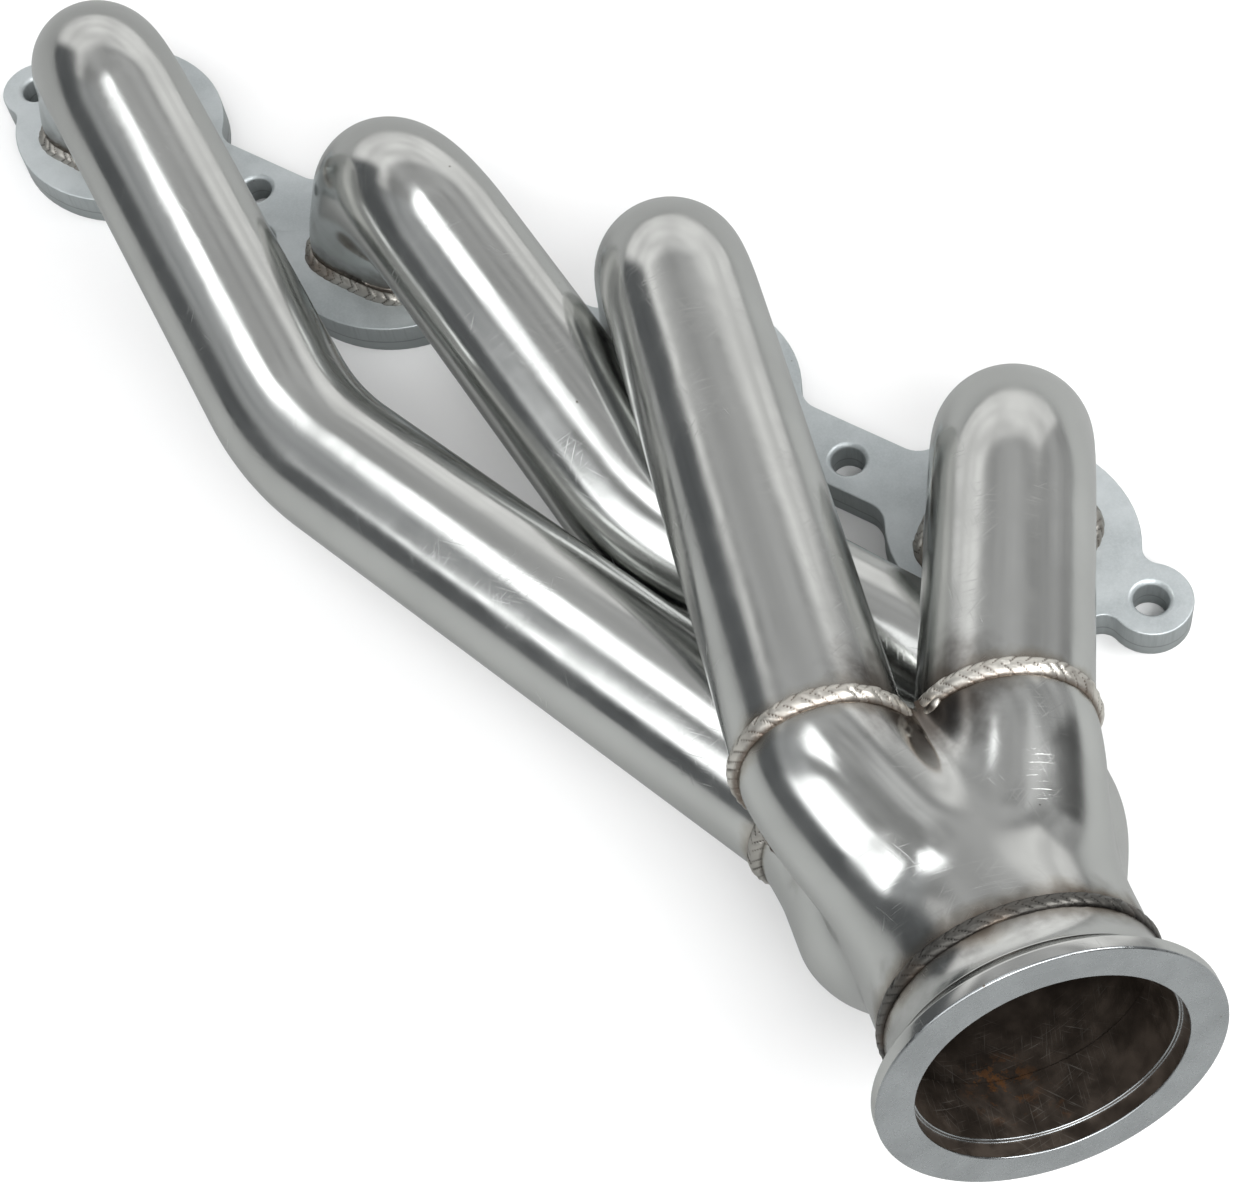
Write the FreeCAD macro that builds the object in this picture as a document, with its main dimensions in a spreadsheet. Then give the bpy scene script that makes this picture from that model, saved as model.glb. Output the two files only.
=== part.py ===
import FreeCAD, Part
import math
import os
import Sketcher
from FreeCAD import Placement, Rotation, Vector

# Welded exhaust manifold for one bank of four cylinders.
# Frame: gasket face at z = 0 facing -Z, +X runs from port 1 to port 4, the tubes
# leave the flange toward +Z and sweep down to -Y, the outlet end is toward +X.

doc = FreeCAD.newDocument("exhaust_manifold")
sheet = doc.addObject("Spreadsheet::Sheet", "Dimensions")


def add_dimensions(title, values):
    """Write one titled group of millimetre or degree values into the sheet."""
    global row
    sheet.set("A%d" % row, title)
    row += 1
    for alias, value in values.items():
        sheet.set("A%d" % row, alias.replace("_", " "))
        sheet.set("B%d" % row, str(value))
        sheet.setAlias("B%d" % row, alias)
        row += 1


row = 1
add_dimensions("Head flange", {
    "port_pitch": 111.76,
    "plate_thick": 11.0,
    "lobe_half_long": 37.3,
    "lobe_half_short": 32.9,
    "web_upper": 10.2,
    "web_lower": 11.6,
    "web_corner": 8.0,
    "ear_radius": 11.8,
    "ear_corner": 5.0,
    "end_bolt_left": 203.2,
    "end_bolt_right": 212.0,
    "end_bolt_drop": 1.4,
    "inner_bolt_left": 107.8,
    "inner_bolt_right": 114.6,
    "inner_bolt_drop": 1.4,
    "bolt_hole_radius": 4.9,
    "bolt_hole_mouth": 6.1,
})
add_dimensions("Tubes", {
    "tube_radius": 21.1,
    "tube_wall": 1.6,
    "port_half_long": 21.4,
    "port_half_short": 20.4,
    "port_corner": 12.5,
    "formed_height_short": 12.0,
    "round_height_short": 15.0,
    "formed_height_long": 16.0,
    "round_height_long": 34.0,
    "tail": 14.0,
})
add_dimensions("Collector and outlet", {
    "outlet_x": 265.5,
    "outlet_y": -166.7,
    "outlet_z": 99.1,
    "outlet_heading": -41.1,
    "outlet_rise": 13.5,
    "skin_start": 82.0,
    "skin_end": 20.0,
    "legs_overlap": 4.0,
    "skin_grow": 0.6,
    "core_start": 23.5,
    "neck_radius": 32.4,
    "collector_wall": 1.8,
    "blend_size": 2.6,
    "ring_radius": 40.1,
    "ring_rim": 3.6,
    "ring_flank": 8.2,
    "ring_root": 34.6,
    "mouth_radius": 31.2,
    "mouth_depth": 4.0,
    "mouth_bore": 30.3,
})
add_dimensions("Weld beads", {
    "port_bead": 4.2,
    "joint_bead": 2.6,
    "outlet_bead": 1.9,
    "corner_bead": 3.2,
})
# Middle line of each tube: height and radius of the bend above its port, then the
# knee (tubes 1 and 2 only) and the middle of the joint with the collector.
add_dimensions("Tube 1", {
    "top_height_1": 69.6, "top_bend_1": 48.9, "port_shift_1": 0.0,
    "knee_x_1": -10.6, "knee_y_1": -90.9, "knee_z_1": 50.1, "knee_bend_1": 86.5,
    "joint_x_1": 176.2, "joint_y_1": -121.3, "joint_z_1": 57.2,
})
add_dimensions("Tube 2", {
    "top_height_2": 71.4, "top_bend_2": 48.6, "port_shift_2": 2.0,
    "knee_x_2": 93.6, "knee_y_2": -66.0, "knee_z_2": 47.3, "knee_bend_2": 89.4,
    "joint_x_2": 199.9, "joint_y_2": -71.5, "joint_z_2": 48.5,
})
add_dimensions("Tube 3", {
    "top_height_3": 80.7, "top_bend_3": 37.0, "port_shift_3": 1.0,
    "joint_x_3": 184.8, "joint_y_3": -127.0, "joint_z_3": 102.3,
})
add_dimensions("Tube 4", {
    "top_height_4": 83.0, "top_bend_4": 45.4, "port_shift_4": -2.0,
    "joint_x_4": 208.6, "joint_y_4": -82.7, "joint_z_4": 94.2,
})
doc.recompute()


def size(alias):
    """Value of one sheet alias."""
    return float(sheet.get(alias))


def turned(z_axis, x_axis=None):
    """Rotation whose local Z is z_axis and whose local X is as near x_axis as it can be."""
    z_axis = Vector(z_axis).normalize()
    side = x_axis or (Vector(0, 0, 1) if abs(z_axis.z) < 0.9 else Vector(1, 0, 0))
    y_axis = z_axis.cross(side).normalize()
    return Rotation(y_axis.cross(z_axis), y_axis, z_axis, "ZXY")


def shape(kind, name, position=Vector(), rotation=Rotation(), **sizes):
    """Add a Part primitive; text sizes are sheet expressions, numbers are set as they are."""
    item = doc.addObject("Part::" + kind, name)
    for prop, value in sizes.items():
        if isinstance(value, str):
            for alias in sorted(aliases, key=len, reverse=True):
                value = value.replace("<%s>" % alias, "Dimensions." + alias)
            item.setExpression(prop, value)
        else:
            setattr(item, prop, value)
    item.Placement = Placement(position, rotation)
    return item


aliases = [sheet.getAlias("B%d" % line) for line in range(1, row) if sheet.getAlias("B%d" % line)]


def fuse(name, items):
    joined = doc.addObject("Part::MultiFuse", name)
    joined.Shapes = items
    joined.Refine = False
    return joined


def cut(name, base, tool):
    result = doc.addObject("Part::Cut", name)
    result.Base = base
    result.Tool = tool
    result.Refine = False
    return result


def common(name, base, tool):
    result = doc.addObject("Part::Common", name)
    result.Base = base
    result.Tool = tool
    result.Refine = False
    return result


def loft(name, sections, ruled=False):
    body = doc.addObject("Part::Loft", name)
    body.Sections = sections
    body.Solid = True
    body.Ruled = ruled
    return body


def wire_object(name, wire):
    """A section outline that no Part primitive describes."""
    item = doc.addObject("Part::Feature", name)
    item.Shape = wire
    return item


nodes = {}

# ---------------------------------------------------------------- head flange
port_x = {n: (n - 2.5) * size("port_pitch") for n in (1, 2, 3, 4)}
end_kind = {1: "short", 2: "short", 3: "long", 4: "long"}


def lobe(n):
    outline = shape("Ellipse", "LobeOutline%d" % n, Vector(port_x[n], 0, 0),
                    MajorRadius="<lobe_half_long>", MinorRadius="<lobe_half_short>")
    solid = doc.addObject("Part::Extrusion", "Lobe%d" % n)
    solid.Base = outline
    solid.Dir = Vector(0, 0, 1)
    solid.DirMode = "Custom"
    solid.setExpression("LengthFwd", "Dimensions.plate_thick")
    solid.Solid = True
    return solid


def ear(name, x, y):
    return shape("Cylinder", name, Vector(x, y, 0), Radius="<ear_radius>", Height="<plate_thick>")


web = shape("Box", "Web", Vector(port_x[1], -size("web_lower"), 0),
            Length="<port_pitch> * 3", Width="<web_upper> + <web_lower>", Height="<plate_thick>")
bolts = {
    "EndBoltLeft": (-size("end_bolt_left"), -size("end_bolt_drop")),
    "InnerBoltLeft": (-size("inner_bolt_left"), -size("inner_bolt_drop")),
    "InnerBoltRight": (size("inner_bolt_right"), -size("inner_bolt_drop")),
    "EndBoltRight": (size("end_bolt_right"), -size("end_bolt_drop")),
}
ears = [ear("Ear" + name, *bolts[name]) for name in ("EndBoltLeft", "EndBoltRight")]
plate = fuse("Plate", [web] + [lobe(n) for n in port_x] + ears)
plate.Refine = True
doc.recompute()


def inner_corners(solid, thick):
    """Upright edges of the outline where two rounded shapes meet."""
    found = []
    for index, edge in enumerate(solid.Edges, 1):
        first, last = edge.Vertexes[0].Point, edge.Vertexes[-1].Point
        upright = abs(abs(first.z - last.z) - thick) < 0.01 and abs(first.x - last.x) < 0.01
        if upright and abs(first.y - last.y) < 0.01:
            end_corner = abs(first.x) > port_x[4] + 10
            radius = size("ear_corner") if end_corner else size("web_corner")
            on_seam = abs(first.y) < 3.0
            if not on_seam:
                found.append((index, radius, radius))
    return found


rounded = doc.addObject("Part::Fillet", "RoundedPlate")
rounded.Base = plate
rounded.Edges = inner_corners(plate.Shape, size("plate_thick"))
doc.recompute()

openings = []
for name, (x, y) in bolts.items():
    openings.append(shape("Cylinder", name, Vector(x, y, -1), Radius="<bolt_hole_radius>",
                          Height="<plate_thick> + 2"))
    openings.append(shape("Cone", name + "Mouth", Vector(x, y, size("plate_thick") - 1.2),
                          Radius1="<bolt_hole_radius>", Radius2="<bolt_hole_mouth> + 0.02",
                          Height="1.22"))


def port_outline(n, height, grow=0.0):
    """Rounded square of a formed tube end, as eight edges starting on +X."""
    half_x = size("port_half_long") + grow
    half_y = size("port_half_short") + grow
    corner = size("port_corner") + grow
    return eight_edges(n, height, half_x, half_y, corner)


def round_outline(n, height, radius):
    """Circle cut into the same eight edges as the formed end."""
    return eight_edges(n, height, radius, radius, radius * 0.999)


def eight_edges(n, height, half_x, half_y, corner):
    middle = Vector(port_x[n], size("port_shift_%d" % n), height)
    edges = []
    for sign_x, sign_y, start in ((1, 1, 0), (-1, 1, 90), (-1, -1, 180), (1, -1, 270)):
        centre = middle + Vector(sign_x * (half_x - corner), sign_y * (half_y - corner), 0)
        points = [centre + Vector(math.cos(a), math.sin(a), 0) * corner
                  for a in (math.radians(start + step) for step in (0, 45, 90))]
        edges.append(Part.Arc(*points).toShape())
    sides = []
    for index in range(4):
        following = edges[(index + 1) % 4]
        sides.append(edges[index])
        sides.append(Part.makeLine(edges[index].lastVertex().Point, following.firstVertex().Point))
    return Part.Wire(Part.__sortEdges__(sides))


def formed_end(n, name, grow, low):
    """Tube end from the rounded square in the flange up to the round tube."""
    formed = size("formed_height_" + end_kind[n])
    square_low = wire_object(name + "SquareLow%d" % n, port_outline(n, low, grow))
    square_top = wire_object(name + "SquareTop%d" % n, port_outline(n, formed, grow))
    round_top = wire_object(name + "Round%d" % n,
                            round_outline(n, size("round_height_" + end_kind[n]), size("tube_radius") + grow))
    return [loft(name + "Square%d" % n, [square_low, square_top], True),
            loft(name + "Change%d" % n, [square_top, round_top], True)]


# ------------------------------------------------------------ primary tubes
heading = math.radians(size("outlet_heading"))
rise = math.radians(size("outlet_rise"))
outlet = Vector(size("outlet_x"), size("outlet_y"), size("outlet_z"))
axis = Vector(math.cos(rise) * math.cos(heading), math.cos(rise) * math.sin(heading), math.sin(rise))
across = Vector(-math.sin(heading), math.cos(heading), 0)
upward = axis.cross(across) * -1 if axis.cross(across).z < 0 else axis.cross(across)


def corners_of(n):
    """Straight-line corners of a tube's middle line, and the bend radius name at each."""
    port = Vector(port_x[n], size("port_shift_%d" % n), 0)
    top = port + Vector(0, 0, size("top_height_%d" % n))
    start = port + Vector(0, 0, size("round_height_" + end_kind[n]))
    points, radii = [start, top], ["top_bend_%d" % n]
    if n in (1, 2):
        points.append(Vector(*(size("knee_%s_%d" % (letter, n)) for letter in "xyz")))
        radii.append("knee_bend_%d" % n)
    points.append(Vector(*(size("joint_%s_%d" % (letter, n)) for letter in "xyz")))
    return points, radii


def run_direction(n):
    points, _ = corners_of(n)
    return (points[-1] - points[-2]).normalize()


def tube_solids(n, name, radius):
    """Cylinders for the straights and torus sectors for the bends of one tube."""
    points, radii = corners_of(n)
    solids = []
    start = points[0]
    for index, bend in enumerate(radii):
        corner = points[index + 1]
        into = (corner - start).normalize()
        out = (points[index + 2] - corner).normalize()
        turn = into.getAngle(out)
        setback = size(bend) * math.tan(turn / 2)
        first = corner - into * setback
        solids.append(shape("Cylinder", "%sStraight%d_%d" % (name, n, index), start, turned(into),
                            Radius=radius, Height=(first - start).Length))
        inward = (out - into * into.dot(out)).normalize()
        centre = first + inward * size(bend)
        rotation = Rotation(inward * -1, into, (inward * -1).cross(into), "ZXY")
        solids.append(shape("Torus", "%sBend%d_%d" % (name, n, index), centre, rotation,
                            Radius1="<%s>" % bend, Radius2=radius, Angle1=-180, Angle2=180,
                            Angle3=math.degrees(turn)))
        start = corner + out * setback
    out = run_direction(n)
    end = points[-1] + out * size("tail")
    solids.append(shape("Cylinder", "%sEnd%d" % (name, n), start, turned(out),
                        Radius=radius, Height=(end - start).Length))
    return solids


def joint_plane(n):
    """Normal of the plane where tube n meets its collector leg."""
    return (run_direction(n) + axis).normalize()


def half_space(name, n, forward):
    """Block on one side of the joint plane of tube n."""
    normal = joint_plane(n) * (1 if forward else -1)
    rotation = turned(normal)
    corner = corners_of(n)[0][-1] + rotation.multVec(Vector(-60, -60, 0))
    return shape("Box", name, corner, rotation, Length=120, Width=120, Height=60)


tube_outer = {}
for n in port_x:
    ends = formed_end(n, "Formed", 0.0, 0.6)
    tube_outer[n] = fuse("TubeOuter%d" % n, ends + tube_solids(n, "Outer", "<tube_radius>"))
    hollow_ends = formed_end(n, "Hollow", -size("tube_wall"), -2.0)
    hollow = fuse("TubeHollow%d" % n,
                  hollow_ends + tube_solids(n, "Inner", "<tube_radius> - <tube_wall>"))
    pipe = cut("Pipe%d" % n, tube_outer[n], hollow)
    nodes["tube_%d" % n] = cut("Tube%d" % n, pipe, half_space("PastJoint%d" % n, n, True))
    port_slot = wire_object("SlotLow%d" % n, port_outline(n, -1.0, 0.05))
    port_top = wire_object("SlotTop%d" % n, port_outline(n, size("plate_thick") + 1.0, 0.05))
    openings.append(loft("Slot%d" % n, [port_slot, port_top], True))

nodes["head_flange"] = cut("HeadFlange", rounded, fuse("FlangeOpenings", openings))

# ---------------------------------------------------------------- collector
joints = {n: corners_of(n)[0][-1] for n in port_x}
offsets = {n: ((joints[n] - outlet).dot(across), (joints[n] - outlet).dot(upward)) for n in port_x}
stations = {n: (joints[n] - outlet).dot(axis) for n in port_x}


def eased(value):
    value = min(1.0, max(0.0, value))
    return value * value * (3 - 2 * value)


def skin_radius(angle, along, wall):
    """Outer radius of the merged legs at one angle; along is 0 at the start, 1 at the neck."""
    neck = size("neck_radius") - wall
    circles = []
    for n, (u, w) in offsets.items():
        late = 0.30 if n == 1 else 0.0
        share = eased((along - late) / (1.0 - late)) * 0.75
        reach = size("tube_radius") + size("skin_grow") - wall
        circles.append((u * (1 - share), w * (1 - share), reach))
    core = size("core_start") - wall + (neck - size("core_start") + wall) * along
    circles.append((0.0, 0.0, core))
    blend = size("blend_size")
    direction = (math.cos(angle), math.sin(angle))

    def outside(radius):
        total = 0.0
        for u, w, reach in circles:
            gap = math.hypot(direction[0] * radius - u, direction[1] * radius - w) - reach
            total += math.exp(-gap / blend)
        return -blend * math.log(total)

    near, far = 5.0, 75.0
    step = 1.0
    while far > near and outside(far - step) > 0:
        far -= step
    near = far - step
    for _ in range(24):
        middle = (near + far) / 2
        if outside(middle) > 0:
            far = middle
        else:
            near = middle
    merged = (near + far) / 2
    share = eased((along - 0.45) / 0.55)
    return merged * (1 - share) + neck * share


def skin_section(name, along, wall, reach=None):
    station = -size("skin_start") + (size("skin_start") - size("skin_end")) * along
    station = reach if reach is not None else station
    points = []
    for step in range(48):
        angle = 2 * math.pi * step / 48
        radius = skin_radius(angle, along, wall)
        points.append(outlet + axis * station + across * (radius * math.cos(angle))
                      + upward * (radius * math.sin(angle)))
    curve = Part.BSplineCurve()
    curve.interpolate(points, PeriodicFlag=True)
    return wire_object(name, Part.Wire(curve.toShape()))


def skin(name, wall, first=None, last=None):
    sections = []
    for index in range(9):
        along = index / 8.0
        reach = first if index == 0 else last if index == 8 else None
        sections.append(skin_section("%s%d" % (name, index), along, wall, reach))
    return loft(name + "Skin", sections)


def leg(name, n, radius):
    """Straight leg from before the joint plane of tube n into the merged skin."""
    start = joints[n] - axis * size("tail")
    length = -(size("skin_start") - size("legs_overlap")) - stations[n] + size("tail")
    return shape("Cylinder", name, start, turned(axis), Radius=radius, Height=length)


leg_outer = {n: leg("LegOuter%d" % n, n, "<tube_radius>") for n in port_x}
leg_trimmed = {n: cut("LegTrimmed%d" % n, leg_outer[n], half_space("BeforeJoint%d" % n, n, False))
               for n in port_x}
collector_solid = fuse("CollectorSolid", [skin("Outer", 0.0)] + list(leg_trimmed.values()))
wall = size("collector_wall")
collector = collector_solid
for n in port_x:
    bore = leg("LegHollow%d" % n, n, "<tube_radius> - <collector_wall> - 0.5")
    collector = cut("Bored%d" % n, collector, bore)
hollow_skin = skin("Hollow", wall, -size("skin_start") + wall, -size("skin_end") + 1.0)
collector = cut("Collector", collector, hollow_skin)
quarters = {1: (-1, -1), 2: (1, -1), 3: (-1, 1), 4: (1, 1)}
for n, (side_u, side_w) in quarters.items():
    corner = outlet - axis * 160 + across * (0 if side_u > 0 else -90) + upward * (0 if side_w > 0 else -90)
    block = shape("Box", "Quarter%d" % n, corner, Rotation(axis, across, upward, "ZXY"),
                  Length=160, Width=90, Height=90)
    nodes["collector_leg_%d" % n] = common("CollectorLeg%d" % n, collector, block)

# ---------------------------------------------------------------- outlet ring
ring_body = doc.addObject("PartDesign::Body", "OutletRing")
profile = ring_body.newObject("Sketcher::SketchObject", "RingProfile")
xz_plane = next(item for item in ring_body.Origin.OriginFeatures if item.Role == "XZ_Plane")
profile.AttachmentSupport = [(xz_plane, "")]
profile.MapMode = "FlatFace"
outline = [
    ("mouth_radius", 0.0), ("ring_radius", 0.0), ("ring_radius", "ring_rim"),
    ("ring_root", "ring_flank"), ("neck_radius", "skin_end"), ("mouth_bore", "skin_end"),
    ("mouth_bore", "mouth_depth"), ("mouth_radius", "mouth_depth"),
]
corners = [(size(r), -size(d) if d else 0.0) for r, d in outline]
for index, (radius, depth) in enumerate(corners):
    following = corners[(index + 1) % len(corners)]
    profile.addGeometry(Part.LineSegment(Vector(radius, depth, 0), Vector(*following, 0)))
for index in range(len(corners)):
    profile.addConstraint(Sketcher.Constraint("Coincident", index, 2, (index + 1) % len(corners), 1))
for index, (radius_name, depth_name) in enumerate(outline):
    across_rule = profile.addConstraint(
        Sketcher.Constraint("DistanceX", -1, 1, index, 1, corners[index][0]))
    profile.setExpression("Constraints[%d]" % across_rule, "Dimensions." + radius_name)
    if depth_name:
        depth_rule = profile.addConstraint(
            Sketcher.Constraint("DistanceY", index, 1, -1, 1, -corners[index][1]))
        profile.setExpression("Constraints[%d]" % depth_rule, "Dimensions." + depth_name)
    else:
        profile.addConstraint(Sketcher.Constraint("PointOnObject", index, 1, -1))
revolution = ring_body.newObject("PartDesign::Revolution", "RingTurned")
revolution.Profile = profile
revolution.ReferenceAxis = (profile, ["V_Axis"])
revolution.Angle = 360
ring_body.Placement = Placement(outlet, turned(axis))
nodes["vband_flange"] = ring_body

# ---------------------------------------------------------------- weld beads
for n in port_x:
    thick, bead = size("plate_thick"), size("port_bead")
    low = wire_object("BeadLow%d" % n, port_outline(n, thick, bead))
    high = wire_object("BeadHigh%d" % n, port_outline(n, thick + bead, 0.3))
    skirt = loft("BeadSkirt%d" % n, [low, high], True)
    gap_low = wire_object("BeadGapLow%d" % n, port_outline(n, thick - 1, 0.0))
    gap_high = wire_object("BeadGapHigh%d" % n, port_outline(n, thick + bead + 1, 0.0))
    nodes["port_weld_%d" % n] = cut("PortWeld%d" % n, skirt,
                                    loft("BeadGap%d" % n, [gap_low, gap_high], True))
    ring = shape("Torus", "JointRing%d" % n, joints[n], turned(joint_plane(n)),
                 Radius1="<tube_radius> / cos(%.3f)" % math.degrees(run_direction(n).getAngle(axis) / 4),
                 Radius2="<joint_bead>")
    tube_core = shape("Cylinder", "JointTube%d" % n, joints[n] - run_direction(n) * 30,
                      turned(run_direction(n)), Radius="<tube_radius>", Height=30 + size("tail"))
    bead = cut("JointBead%d" % n, ring, fuse("JointCore%d" % n, [tube_core, leg_outer[n]]))
    nodes["collector_weld_%d" % n] = bead
neck = outlet - axis * size("skin_end")
ring = shape("Torus", "OutletRingBead", neck, turned(axis), Radius1="<neck_radius>",
             Radius2="<outlet_bead>")
core = shape("Cylinder", "OutletCore", neck - axis * 15, turned(axis), Radius="<neck_radius>",
             Height=15)
nodes["outlet_weld"] = cut("OutletWeld", cut("OutletBeadHalf", ring, core), ring_body)


def corner_bead(name, along, u, w, direction, length, sides):
    """Short bead filling the corner between two legs; sides are the solids it lies against."""
    middle = outlet - axis * along + across * u + upward * w
    bead = shape("Cylinder", name + "Rod", middle - direction * (length / 2), turned(direction),
                 Radius="<corner_bead>", Height=length)
    for index, side in enumerate(sides):
        bead = cut("%sAgainst%d" % (name, index), bead, side)
    return bead


nodes["corner_weld_34"] = corner_bead("CornerWeld34", 84, 1.4, 24.6, across, 12,
                                      [leg_outer[3], leg_outer[4], collector_solid])
nodes["corner_weld_13"] = corner_bead("CornerWeld13", 74, -35.6, 2.6, axis, 12,
                                      [leg_outer[1], leg_outer[3], collector_solid])

doc.recompute()
os.makedirs("parts", exist_ok=True)
for item in doc.Objects:
    if any(word in item.State for word in ("Invalid", "Error")):
        raise RuntimeError("feature %s failed" % item.Name)
for name, item in nodes.items():
    item.Label = name
    solid = item.Shape
    if solid.isNull() or not solid.isValid():
        raise RuntimeError("%s has no valid shape" % name)
    print(name, "solids", len(solid.Solids), "volume %.1f" % solid.Volume)
    solid.exportStep("parts/%s.step" % name)
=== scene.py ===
import math

import bpy
import numpy as np
from mathutils import Matrix, Vector


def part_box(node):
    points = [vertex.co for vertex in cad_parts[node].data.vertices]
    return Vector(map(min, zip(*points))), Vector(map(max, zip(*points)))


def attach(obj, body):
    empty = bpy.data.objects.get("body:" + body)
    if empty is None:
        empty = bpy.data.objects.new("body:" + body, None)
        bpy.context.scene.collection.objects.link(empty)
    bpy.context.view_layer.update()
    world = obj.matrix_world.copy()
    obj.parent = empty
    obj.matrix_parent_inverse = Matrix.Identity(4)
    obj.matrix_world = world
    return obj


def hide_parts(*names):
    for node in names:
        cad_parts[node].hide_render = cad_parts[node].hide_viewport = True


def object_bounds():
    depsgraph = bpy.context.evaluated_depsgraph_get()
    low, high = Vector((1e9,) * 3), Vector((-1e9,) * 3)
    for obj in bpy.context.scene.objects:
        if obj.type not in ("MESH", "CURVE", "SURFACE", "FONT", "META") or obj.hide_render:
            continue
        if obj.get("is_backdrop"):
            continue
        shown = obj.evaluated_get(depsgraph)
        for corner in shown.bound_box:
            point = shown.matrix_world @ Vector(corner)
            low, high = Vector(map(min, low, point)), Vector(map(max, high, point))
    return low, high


bl_info = {
    "name": "Welded exhaust manifold",
    "version": (1, 0, 0),
    "blender": (4, 5, 0),
    "location": "3D View > Sidebar > Manifold",
    "description": "Builds the polished tubes, collector, weld beads, head flange and outlet ring of a "
                   "welded exhaust manifold round its CAD frame",
    "category": "Mesh",
}

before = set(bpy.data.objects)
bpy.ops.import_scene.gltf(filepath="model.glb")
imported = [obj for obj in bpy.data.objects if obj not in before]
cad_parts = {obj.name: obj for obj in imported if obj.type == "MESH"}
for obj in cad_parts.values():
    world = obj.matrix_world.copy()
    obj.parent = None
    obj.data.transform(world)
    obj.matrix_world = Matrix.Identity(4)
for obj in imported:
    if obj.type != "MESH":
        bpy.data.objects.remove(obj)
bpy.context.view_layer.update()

MM = 0.001
PORTS = (1, 2, 3, 4)
PLATE_LOW, PLATE_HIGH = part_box("head_flange")


# ------------------------------------------------------------------ sizes and finishes

def length(name, description, millimetres):
    """A length property, given in millimetres and kept in metres."""
    return bpy.props.FloatProperty(name=name, description=description, default=millimetres * MM,
                                   min=0.0, subtype="DISTANCE", unit="LENGTH")


def place(name, description, millimetres):
    """A point property, given in millimetres and kept in metres."""
    return bpy.props.FloatVectorProperty(name=name, description=description, size=3,
                                         default=[value * MM for value in millimetres],
                                         subtype="TRANSLATION", unit="LENGTH")


def colour(name, description, values):
    return bpy.props.FloatVectorProperty(name=name, description=description, size=3,
                                         default=values, min=0.0, max=1.0, subtype="COLOR")


class ManifoldSizes(bpy.types.PropertyGroup):
    """Sizes of the manifold's pieces."""
    port_pitch: length("Port pitch", "Distance between neighbouring ports", 111.76)
    tube_radius: length("Tube radius", "Outside radius of the four tubes", 21.1)
    tube_wall: length("Tube wall", "Wall of the four tubes", 1.6)
    port_half_long: length("Port half length", "Half size of a formed tube end along the flange", 21.4)
    port_half_short: length("Port half width", "Half size of a formed tube end across the flange", 20.4)
    port_corner: length("Port corner", "Corner radius of a formed tube end", 12.5)
    collector_wall: length("Collector wall", "Wall of the collector", 1.8)
    neck_radius: length("Neck radius", "Outside radius of the collector's outlet", 32.4)
    core_radius: length("Core radius", "Radius of the collector's middle between its legs", 23.5)
    skin_start: length("Merge start", "Distance from the outlet face to where the legs merge", 82.0)
    skin_end: length("Neck weld", "Distance from the outlet face to the neck weld", 20.0)
    joint_bead: length("Joint bead", "Half width of the beads between tubes and collector", 2.6)
    port_bead: length("Port bead", "Leg of the fillet bead round each port", 4.2)
    outlet_bead: length("Outlet bead", "Half width of the bead at the outlet neck", 1.9)
    ripple_pitch: length("Ripple pitch", "Distance between the ripples of a weld bead", 3.3)
    outlet: place("Outlet", "Middle of the outlet ring's face", (265.5, -166.7, 99.1))
    outlet_heading: bpy.props.FloatProperty(name="Outlet heading", subtype="ANGLE", unit="ROTATION",
                                            description="Direction of the outlet seen from above",
                                            default=math.radians(-41.1))
    outlet_rise: bpy.props.FloatProperty(name="Outlet rise", subtype="ANGLE", unit="ROTATION",
                                         description="Angle of the outlet above level",
                                         default=math.radians(13.5))


class ManifoldFinish(bpy.types.PropertyGroup):
    """Colours of the manifold's metals."""
    polished: colour("Polished steel", "Colour of the polished tubes and collector", (0.645, 0.655, 0.64))
    plate: colour("Plate", "Colour of the zinc-coated flange plate", (0.60, 0.64, 0.65))
    plate_dark: colour("Plate shade", "Darker patches of the flange plate", (0.45, 0.49, 0.50))
    bead: colour("Weld bead", "Colour of the weld beads", (0.66, 0.64, 0.59))
    # Painted shade between the ripples of a bead and along its toes.
    bead_shade: colour("Weld shadow", "Colour between the ripples of a bead", (0.12, 0.09, 0.07))
    ring: colour("Outlet ring", "Colour of the turned outlet ring", (0.42, 0.44, 0.45))
    soot: colour("Soot", "Colour inside the outlet", (0.085, 0.068, 0.055))
    rust: colour("Rust", "Colour of rust specks", (0.36, 0.17, 0.07))
    floor: colour("Floor", "Colour of the plain floor", (0.93, 0.93, 0.93))


def sizes():
    return bpy.context.scene.manifold_sizes


def finish():
    return bpy.context.scene.manifold_finish


# ------------------------------------------------------------------ middle lines

def unit(vector):
    vector = np.asarray(vector, float)
    return vector / np.linalg.norm(vector)


def tube_corners(n):
    """Corners of tube n's middle line from the plate up, and the bend radius at each, in metres.

    The last corner is the joint with the collector. Those of tubes 1 and 4 stand 6 mm and 15.8 mm
    further along than in the CAD.
    """
    s = sizes()
    x = (n - 2.5) * s.port_pitch / MM
    routes = {
        1: ([(x, 0.0, 15.0), (x, 0.0, 69.6), (-10.6, -90.9, 50.1), (182.1, -122.3, 57.4)], [48.9, 86.5]),
        2: ([(x, 2.0, 15.0), (x, 2.0, 71.4), (93.6, -66.0, 47.3), (199.9, -71.5, 48.5)], [48.6, 89.4]),
        3: ([(x, 1.0, 34.0), (x, 1.0, 80.7), (184.8, -127.0, 102.3)], [37.0]),
        4: ([(x, -2.0, 34.0), (x, -2.0, 83.0), (215.7, -96.7, 96.1)], [45.4]),
    }
    corners, radii = routes[n]
    return [np.array(corner) * MM for corner in corners], [radius * MM for radius in radii]


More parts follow.
